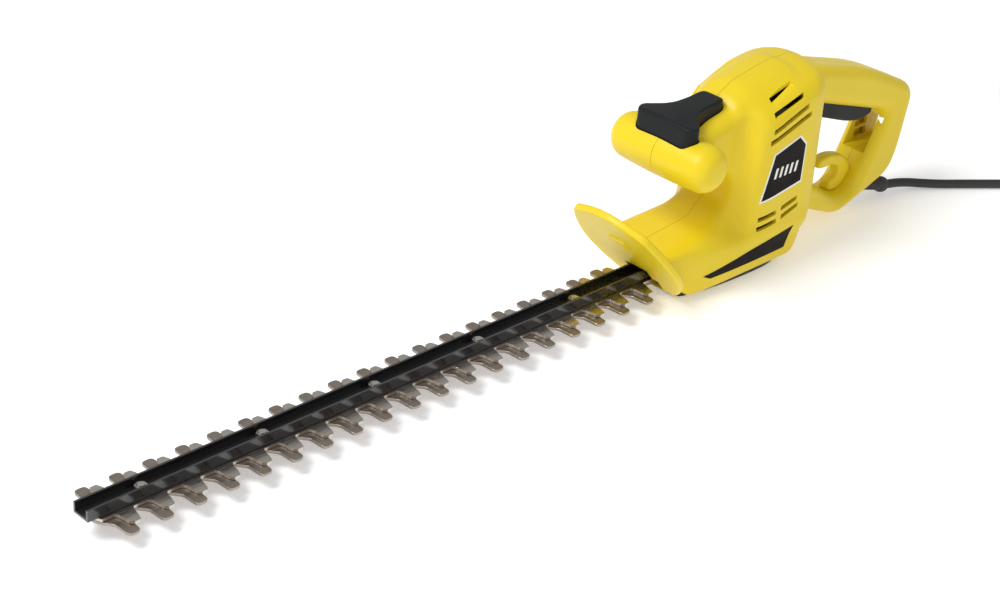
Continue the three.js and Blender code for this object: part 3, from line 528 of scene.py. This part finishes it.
lever_mesh = net("lever", lever_field, (-76, -32, 112), (-12, 32, 142), 0.8)
lever_mesh = carve("lever", lever_mesh, [("UNION", [rod(3, (-24, -14, 123), (-24, 14, 123))])])
set_sharp(lever_mesh, 50)
lever = link("lever", lever_mesh)
lever_mesh.materials.clear()
lever_mesh.materials.append(soft_black)
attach(lever, "front_lever")
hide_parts("front_lever")

# ---------------------------------------------------------------- rear trigger
# The long trigger under the rear grip, moulded in soft black plastic. It turns on a barrel at
# its front end and presses the main switch.
trigger_side = Outline([(87, 96, 3), (140, 76, 20), (160, 79, 4), (160, 91, 2), (120, 105, 4),
                        (92, 114, 3)])
trigger_mesh = net("trigger_bar", lambda x, y, z: rounded(
    trigger_side(x, z + 0.02 * y * y), np.abs(y) - 9.7, 3), (82, -13, 68), (165, 13, 118), 0.9)
trigger_mesh = carve("trigger_bar", trigger_mesh, [
    ("UNION", [rod(3, (90, -13, 113.5), (90, 13, 113.5))])])
set_sharp(trigger_mesh, 50)
trigger_bar = link("trigger_bar", trigger_mesh)
trigger_mesh.materials.clear()
trigger_mesh.materials.append(soft_black)
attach(trigger_bar, "trigger")
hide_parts("trigger")

# ---------------------------------------------------------------- cord hook
# A C-shaped finger on the floor of the rear grip, moulded with the shell. It holds the loop of
# an extension lead so that a tug doesn't reach the plug.
hook_side = Outline([(124, 16), (150, 16), (149, 36, 4), (138, 48, 6), (122, 52, 6),
                     (110, 50.5, 4), (108, 44, 3), (116, 42.5, 3), (126, 42.5, 3), (134, 38, 4),
                     (134, 31, 3), (125, 28, 2)])
hook_mesh = net("hook", lambda x, y, z: np.maximum(
    rounded(hook_side(x, z), np.abs(y) - 5, 2.4), handle_opening(x, z) + 0.3),
    (104, -8, 15), (153, 8, 57), 0.8)
set_sharp(hook_mesh, 50)
hook = link("hook", hook_mesh)
hook_mesh.materials.append(yellow)
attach(hook, "housing")
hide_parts("cord_hook")

# ---------------------------------------------------------------- side labels
# Two polyester labels on each side of the shell: a black pentagon with a white border under
# the cooling slots, and a long black wedge over the sole. Generic slanted bars stand in for
# any lettering.
shell_tree = BVHTree.FromPolygons([v.co.copy() for v in left_mesh.vertices],
                                  [list(p.vertices) for p in left_mesh.polygons])


def decal(name, upper, lower, lift, thickness, way):
    """A thin plate on the shell's side between two lines [x, z], at a height above it."""
    x0, x1 = upper[0][0], upper[-1][0]
    across = sorted({*np.linspace(x0, x1, int((x1 - x0) / 2) + 2), *[p[0] for p in upper],
                     *[p[0] for p in lower]})
    rows = 7
    shape = bmesh.new()
    grids = []
    for level in (lift, lift + thickness):
        ring = []
        for x in across:
            z0 = np.interp(x, *zip(*lower))
            z1 = np.interp(x, *zip(*upper))
            for k in range(rows):
                z = z0 + (z1 - z0) * k / (rows - 1)
                hit = shell_tree.ray_cast(Vector((x, -90, z)) * MM, Vector((0, 1, 0)))[0]
                y = hit.y - level * MM
                ring.append(shape.verts.new((x * MM, y if way < 0 else -y, z * MM)))
        grids.append(ring)
    last = len(across) - 1
    for i in range(last):
        for k in range(rows - 1):
            a, b = i * rows + k, (i + 1) * rows + k
            for ring in grids:
                shape.faces.new((ring[a], ring[b], ring[b + 1], ring[a + 1]))
    rim = [(i * rows, (i + 1) * rows) for i in range(last)]
    rim += [(i * rows + rows - 1, (i + 1) * rows + rows - 1) for i in range(last)]
    rim += [(k, k + 1) for k in range(rows - 1)]
    rim += [(last * rows + k, last * rows + k + 1) for k in range(rows - 1)]
    for a, b in rim:
        shape.faces.new((grids[0][a], grids[0][b], grids[1][b], grids[1][a]))
    bmesh.ops.remove_doubles(shape, verts=shape.verts, dist=1e-6)
    bmesh.ops.recalc_face_normals(shape, faces=shape.faces)
    mesh = bpy.data.meshes.new(name)
    shape.to_mesh(mesh)
    shape.free()
    return link(name, mesh)


def printed(name, colour, worn, roughness):
    """Label film: a printed colour with a faint mottle and a satin laminate over it."""
    material, tree, shader = nodes_of(name)
    place = tree.nodes.new("ShaderNodeTexCoord").outputs["Object"]
    shade = spread_over(tree, noise_into(tree, place, 420, 4), 0, 1)
    tree.links.new(mixed(tree, shade, colour, worn), shader.inputs["Base Color"])
    gloss = spread_over(tree, noise_into(tree, place, 60), roughness - 0.06, roughness + 0.06)
    tree.links.new(gloss, shader.inputs["Roughness"])
    bump = tree.nodes.new("ShaderNodeBump")
    bump.inputs["Strength"].default_value = 0.08
    bump.inputs["Distance"].default_value = 0.0001
    tree.links.new(noise_into(tree, place, 1800), bump.inputs["Height"])
    tree.links.new(bump.outputs["Normal"], shader.inputs["Normal"])
    return material


label_black = printed("label_black", (0.008, 0.006, 0.006, 1), (0.012, 0.009, 0.009, 1), 0.6)
label_black.node_tree.nodes["Principled BSDF"].inputs["Specular IOR Level"].default_value = 0.1
label_white = printed("label_white", (0.86, 0.85, 0.80, 1), (0.80, 0.79, 0.74, 1), 0.45)
for way, tag in ((-1, "left"), (1, "right")):
    plates = [
        decal(f"badge_edge_{tag}", [(0, 61), (9, 98), (36, 105.5), (44, 97.5)],
              [(0, 61), (43.2, 67), (44, 97.5)], 0.02, 0.15, way),
        decal(f"badge_panel_{tag}", [(1.8, 62.8), (10.2, 96.8), (35.4, 103.8), (42.6, 96.6)],
              [(1.8, 62.8), (41.9, 68.6), (42.6, 96.6)], 0.17, 0.12, way),
        decal(f"wedge_{tag}", [(-50, 19), (41, 33)], [(-50, 19), (-43, 15.6), (36, 15.6),
                                                      (41, 33)], 0.02, 0.15, way),
    ]
    for i in range(5):
        x = 11 + 5.4 * i
        plates.append(decal(f"badge_bar_{i}_{tag}", [(x, 78), (x + 1.8, 86), (x + 4.2, 86)],
                            [(x, 78), (x + 2.4, 78), (x + 4.2, 86)], 0.28, 0.06, way))
    for plate in plates:
        white = "badge_edge" in plate.name or "badge_bar" in plate.name
        plate.data.materials.append(label_white if white else label_black)
        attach(plate, "housing")

# ---------------------------------------------------------------- pigtail
# A short two-core mains lead in black PVC, 7 mm across. It leaves the rear handle, drops to
# the floor and ends in a moulded plug that an extension lead's socket takes.
lead_route = [
    (193.5, -9.5, 8.1), (203, -12.3, 7.5), (213, -16, 6.2), (224, -22, 4.6), (236, -30.5, 3.8),
    (250, -40.5, 3.6), (266, -52.5, 3.6), (283, -65, 3.6), (300, -75, 3.6), (318, -79.5, 3.6),
    (336, -76.5, 3.6), (351, -66, 3.6), (363, -53, 3.6), (375, -40, 4), (387, -27.5, 5.6),
    (399, -15.3, 7.6), (411, -3.2, 8.2), (421, 6.8, 8.2),
]


def smooth_line(points, steps):
    """The centripetal curve through the points, with the given steps to each stretch."""
    p = [Vector(q) for q in points]
    p = [p[0] * 2 - p[1], *p, p[-1] * 2 - p[-2]]
    line = []
    for a, b, c, d in zip(p, p[1:], p[2:], p[3:]):
        knots = [0.0]
        for near, far in ((a, b), (b, c), (c, d)):
            knots.append(knots[-1] + (far - near).length ** 0.5)
        for i in range(steps):
            t = knots[1] + (knots[2] - knots[1]) * i / steps

            def mix(m, n, i0, i1):
                s = (t - knots[i0]) / (knots[i1] - knots[i0])
                return m.lerp(n, s)

            ab, bc, cd = mix(a, b, 0, 1), mix(b, c, 1, 2), mix(c, d, 2, 3)
            line.append(mix(mix(ab, bc, 0, 2), mix(bc, cd, 1, 3), 1, 2))
    line.append(p[-2])
    return line


def rubbery(name, colour, roughness):
    """Matt black rubber or soft PVC, with a fine mottled skin."""
    material, tree, shader = nodes_of(name)
    shader.inputs["Base Color"].default_value = colour
    place = tree.nodes.new("ShaderNodeTexCoord")
    mottle = tree.nodes.new("ShaderNodeTexNoise")
    mottle.inputs["Scale"].default_value = 160
    mottle.inputs["Detail"].default_value = 4
    tree.links.new(place.outputs["Object"], mottle.inputs["Vector"])
    spread = tree.nodes.new("ShaderNodeMapRange")
    spread.inputs["To Min"].default_value = roughness - 0.1
    spread.inputs["To Max"].default_value = roughness + 0.12
    tree.links.new(mottle.outputs["Fac"], spread.inputs["Value"])
    tree.links.new(spread.outputs["Result"], shader.inputs["Roughness"])
    skin = tree.nodes.new("ShaderNodeTexNoise")
    skin.inputs["Scale"].default_value = 2600
    tree.links.new(place.outputs["Object"], skin.inputs["Vector"])
    bump = tree.nodes.new("ShaderNodeBump")
    bump.inputs["Strength"].default_value = 0.25
    bump.inputs["Distance"].default_value = 0.0002
    tree.links.new(skin.outputs["Fac"], bump.inputs["Height"])
    tree.links.new(bump.outputs["Normal"], shader.inputs["Normal"])
    return material


lead_rubber = rubbery("lead_rubber", (0.02, 0.02, 0.021, 1), 0.5)
lead_line = smooth_line([Vector(p) * MM for p in lead_route], 6)
lead_curve = bpy.data.curves.new("mains_lead", "CURVE")
lead_curve.dimensions = "3D"
lead_curve.bevel_depth = 3.5 * MM
lead_curve.bevel_resolution = 5
lead_curve.use_fill_caps = True
spline = lead_curve.splines.new("POLY")
spline.points.add(len(lead_line) - 1)
for point, place in zip(spline.points, lead_line):
    point.co = (*place, 1)
spline.use_smooth = True
mains_lead = link("mains_lead", lead_curve)
lead_curve.materials.append(lead_rubber)
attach(mains_lead, "housing")
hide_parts("cord")

# ---------------------------------------------------------------- strain relief
# A black rubber sleeve that grips the lead where it leaves the rear grip, with a collar at its
# outer end and fine rings along it.


def lathe(name, profile, sides=40):
    """A turned closed mesh from [distance, radius] pairs, about X, in metres."""
    shape = bmesh.new()
    rings = []
    for along, r in profile:
        if r == 0:
            rings.append([shape.verts.new((along * MM, 0, 0))])
            continue
        rings.append([shape.verts.new((along * MM, r * MM * cos(2 * pi * i / sides),
                                       r * MM * sin(2 * pi * i / sides)))
                      for i in range(sides)])
    for a, b in zip(rings, rings[1:]):
        for i in range(sides):
            j = (i + 1) % sides
            corners = dict.fromkeys((a[i % len(a)], a[j % len(a)], b[j % len(b)],
                                     b[i % len(b)]))
            shape.faces.new(list(corners))
    bmesh.ops.recalc_face_normals(shape, faces=shape.faces)
    mesh = bpy.data.meshes.new(name)
    shape.to_mesh(mesh)
    shape.free()
    set_sharp(mesh, 40)
    return mesh


relief_profile = [(0, 0), (0, 5.2), (0.4, 5.6), (2.6, 5.6), (3, 5.2), (3, 4.8)]
for k in range(7):
    start = 26 + 2.2 * k
    relief_profile += [(start, 4.75), (start + 0.3, 4.4), (start + 0.9, 4.4),
                       (start + 1.2, 4.72)]
relief_profile += [(42.9, 4.9), (43.9, 5.8), (45.3, 6.2), (47.5, 6.2), (48.9, 5.8),
                   (51.1, 4.6), (51.9, 3.9), (51.9, 0)]
relief_mesh = lathe("relief", relief_profile)
relief_mesh.transform(Matrix.Translation(relief_start * MM) @ relief_turn.to_4x4())
relief = link("relief", relief_mesh)
relief_mesh.materials.append(rubbery("relief_rubber", (0.03, 0.032, 0.034, 1), 0.55))
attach(relief, "housing")
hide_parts("strain_relief")

# ---------------------------------------------------------------- plug
# A moulded two-pin plug at the pigtail's end, black PVC with finger ribs and two round brass
# pins with nickel plate.
plug_outline = Outline([(-17, -7.5, 5), (17, -7.5, 5), (17, 7.5, 5), (-17, 7.5, 5)], margin=10)


def plug_field(x, y, z):
    body = rounded(plug_outline(y, z), np.abs(x - 28.5) - 15.5, 2.5)
    ribs = 0.5 * np.clip(np.cos((x - 24) * 1.9), 0, 1) * (np.abs(x - 24) < 8)
    body = body + ribs * (np.abs(y) > 12)
    cuff = np.hypot(y, z) - np.interp(x, (0, 14, 20), (4.5, 6.5, 7))
    cuff = rounded(cuff, np.abs(x - 10) - 10, 1)
    return blended(body, cuff, 4)


plug_mesh = net("plug_body", plug_field, (-2, -19, -9), (46, 19, 9), 1.0)
pins = [lathe("pin", [(42, 0), (42, 2.4), (60.8, 2.4), (61.7, 1.9), (62, 0)], 24)
        for _ in range(2)]
for pin, y in zip(pins, (-9.5, 9.5)):
    pin.transform(Matrix.Translation((0, y * MM, 0)))
plug_turn = (Matrix.Translation(Vector((421.2, 7.0, 8.2)) * MM)
             @ Matrix.Rotation(radians(45), 4, "Z"))
for mesh in (plug_mesh, *pins):
    mesh.transform(plug_turn)
plug_body = link("plug_body", plug_mesh)
plug_mesh.materials.append(lead_rubber)
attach(plug_body, "housing")
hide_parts("plug")


def metal(name, colour, worn, roughness, brushed=None, metallic=1.0, scale=300):
    """Bare or plated metal. Its grain runs along one axis if brushed says which."""
    material, tree, shader = nodes_of(name)
    place = tree.nodes.new("ShaderNodeTexCoord").outputs["Object"]
    if brushed:
        stretch = tree.nodes.new("ShaderNodeMapping")
        stretch.inputs["Scale"].default_value = brushed
        tree.links.new(place, stretch.inputs["Vector"])
        place = stretch.outputs["Vector"]
    shade = spread_over(tree, noise_into(tree, place, scale, 5), 0, 1)
    tree.links.new(mixed(tree, shade, colour, worn), shader.inputs["Base Color"])
    gloss = spread_over(tree, noise_into(tree, place, scale * 2, 3), roughness - 0.08,
                        roughness + 0.1)
    tree.links.new(gloss, shader.inputs["Roughness"])
    bump = tree.nodes.new("ShaderNodeBump")
    bump.inputs["Strength"].default_value = 0.15
    bump.inputs["Distance"].default_value = 0.0001
    tree.links.new(noise_into(tree, place, scale * 4), bump.inputs["Height"])
    tree.links.new(bump.outputs["Normal"], shader.inputs["Normal"])
    shader.inputs["Metallic"].default_value = metallic
    return material


nickel = metal("nickel_pin", (0.72, 0.68, 0.60, 1), (0.66, 0.61, 0.52, 1), 0.25)
for i, mesh in enumerate(pins):
    pin = link(f"plug_pin_{i}", mesh)
    mesh.materials.append(nickel)
    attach(pin, "housing")

# ---------------------------------------------------------------- blades
# Two blades punched from 2 mm carbon steel strip and ground along their teeth: long blunt
# fingers on the lower one, cutters on the upper one. Slots let them slide past the five bolts,
# and a window in each tail fits round its eccentric.
# The lower blade's steel is the upper blade's steel painted darker: a painted shade for the
# shadow that the upper blade casts over the fingers.
blade_steel = metal("blade_steel", (0.30, 0.255, 0.215, 1), (0.38, 0.33, 0.285, 1), 0.36,
                    brushed=(0.1, 1, 1), scale=500)
cutter_steel = metal("cutter_steel", (0.50, 0.455, 0.41, 1), (0.58, 0.53, 0.48, 1), 0.3,
                     brushed=(0.1, 1, 1), scale=500)
tooth_pitch = 24
tooth_count = 19
bolt_places = [-504 + 90 * i for i in range(5)]
blade_thickness = 2
finger = [(-9.4, 9), (-7.6, 11.2, 2), (-4.7, 14.8, 2), (-4.2, 28, 3), (4.2, 28, 3),
          (4.7, 14.8, 2), (7.6, 11.2, 2), (9.4, 9)]
cutter = [(-6.4, 9), (-4.5, 11.4, 2), (-3.6, 19.4, 1), (-1.4, 22.2, 0.8), (3.1, 22.2, 1),
          (4.6, 18.2, 2), (6, 11, 2), (7.4, 9)]
for name, tooth, first, low, shift, body, steel in (
        ("lower_teeth", finger, -528, 10.5, -2.5, "lower_cutter", blade_steel),
        ("upper_teeth", cutter, -523, 12.8, 2.5, "upper_cutter", cutter_steel)):
    edge = [(-540, 4, 2), (-537.6, 9)]
    for i in range(tooth_count):
        edge += [(first + tooth_pitch * i + u, v, *r) for u, v, *r in tooth]
    edge += [(-47.7, 9), (-31.7, 19.7, 6), (22.7 + shift, 19.7, 6)]
    outline = edge + [(u, -v, *r) for u, v, *r in reversed(edge)]
    strip = prism(outline, low, low + blade_thickness, "xy", 3)
    window = [(shift - 17.7, -13.7, 3), (shift + 17.7, -13.7, 3), (shift + 17.7, 13.7, 3),
              (shift - 17.7, 13.7, 3)]
    holes = [prism(window, low - 1, low + 3, "xy")]
    for place in bolt_places:
        x = place + shift
        holes.append(prism([(x - 6.9, -2.7, 2), (x + 6.9, -2.7, 2), (x + 6.9, 2.7, 2),
                            (x - 6.9, 2.7, 2)], low - 1, low + 3, "xy"))
    strip = carve(name, strip, [("DIFFERENCE", holes)])
    strip.shade_flat()
    shown = link(name, strip)
    strip.materials.clear()
    strip.materials.append(steel)
    grind = shown.modifiers.new("grind", "BEVEL")
    grind.width = 0.35 * MM
    grind.segments = 1
    grind.limit_method = "ANGLE"
    grind.angle_limit = radians(60)
    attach(shown, body)
    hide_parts(name.replace("teeth", "blade"))

# ---------------------------------------------------------------- carried-over nodes
# The channel, the fasteners and the works inside are shown as they are in the frame, with
# worn edges and a procedural finish each.


def dress(node, material, edge=0.0, segments=2):
    """Gives a frame node its finish and rounds its sharp edges by a width in millimetres."""
    shown = bpy.data.objects[node]
    shown.data.materials.clear()
    shown.data.materials.append(material)
    if edge:
        bevel = shown.modifiers.new("edge", "BEVEL")
        bevel.width = edge * MM
        bevel.segments = segments
        bevel.limit_method = "ANGLE"
        bevel.angle_limit = radians(35)
        bevel.use_clamp_overlap = True
        bevel.harden_normals = True


black_paint = metal("black_paint", (0.008, 0.008, 0.009, 1), (0.012, 0.012, 0.013, 1), 0.2,
                    metallic=0.0, scale=60)
black_paint.node_tree.nodes["Principled BSDF"].inputs["Coat Weight"].default_value = 0.7
dress("blade_channel", black_paint, 0.5)
zinc = metal("zinc_plate", (0.60, 0.58, 0.54, 1), (0.50, 0.48, 0.43, 1), 0.3)
machined = metal("machined_steel", (0.46, 0.46, 0.47, 1), (0.55, 0.55, 0.56, 1), 0.35,
                 brushed=(1, 1, 0.1))
for i in range(1, 6):
    dress(f"blade_bolt_{i}", zinc, 0.2)
    dress(f"blade_nut_{i}", zinc, 0.3)
for i in range(1, 9):
    dress(f"housing_screw_{i}", zinc, 0.2)
for i in range(1, 5):
    dress(f"sole_screw_{i}", zinc, 0.2)
black_plastic = moulded("black_plastic", (0.02, 0.021, 0.022, 1), (0.014, 0.015, 0.016, 1),
                        1300, 0.2, 0.05)
for node in ("sole_plate", "rear_switch", "front_switch", "brush_carrier", "cooling_fan"):
    dress(node, black_plastic, 0.4)
for node in ("gear_axle", "pinion", "rotor_shaft", "motor_stator", "lower_bearing",
             "upper_bearing", "drive_gear"):
    dress(node, machined, 0.15)
cast = metal("cast_aluminium", (0.55, 0.56, 0.57, 1), (0.46, 0.47, 0.48, 1), 0.5)
dress("gear_plate", cast, 0.3)
copper = metal("copper_winding", (0.62, 0.27, 0.12, 1), (0.50, 0.20, 0.08, 1), 0.35,
               brushed=(1, 1, 0.15))
dress("armature", copper, 0.3)
dress("commutator", copper, 0.2)
carbon = metal("carbon", (0.03, 0.03, 0.032, 1), (0.045, 0.045, 0.046, 1), 0.6, metallic=0.0)
dress("front_brush", carbon, 0.2)
dress("rear_brush", carbon, 0.2)
film_box = moulded("film_box", (0.55, 0.40, 0.12, 1), (0.48, 0.34, 0.09, 1), 700, 0.2, 0.3)
dress("capacitor", film_box, 0.5)
wire = metal("spring_wire", (0.42, 0.42, 0.44, 1), (0.34, 0.34, 0.36, 1), 0.35)
dress("trigger_spring", wire)
dress("lever_spring", wire)
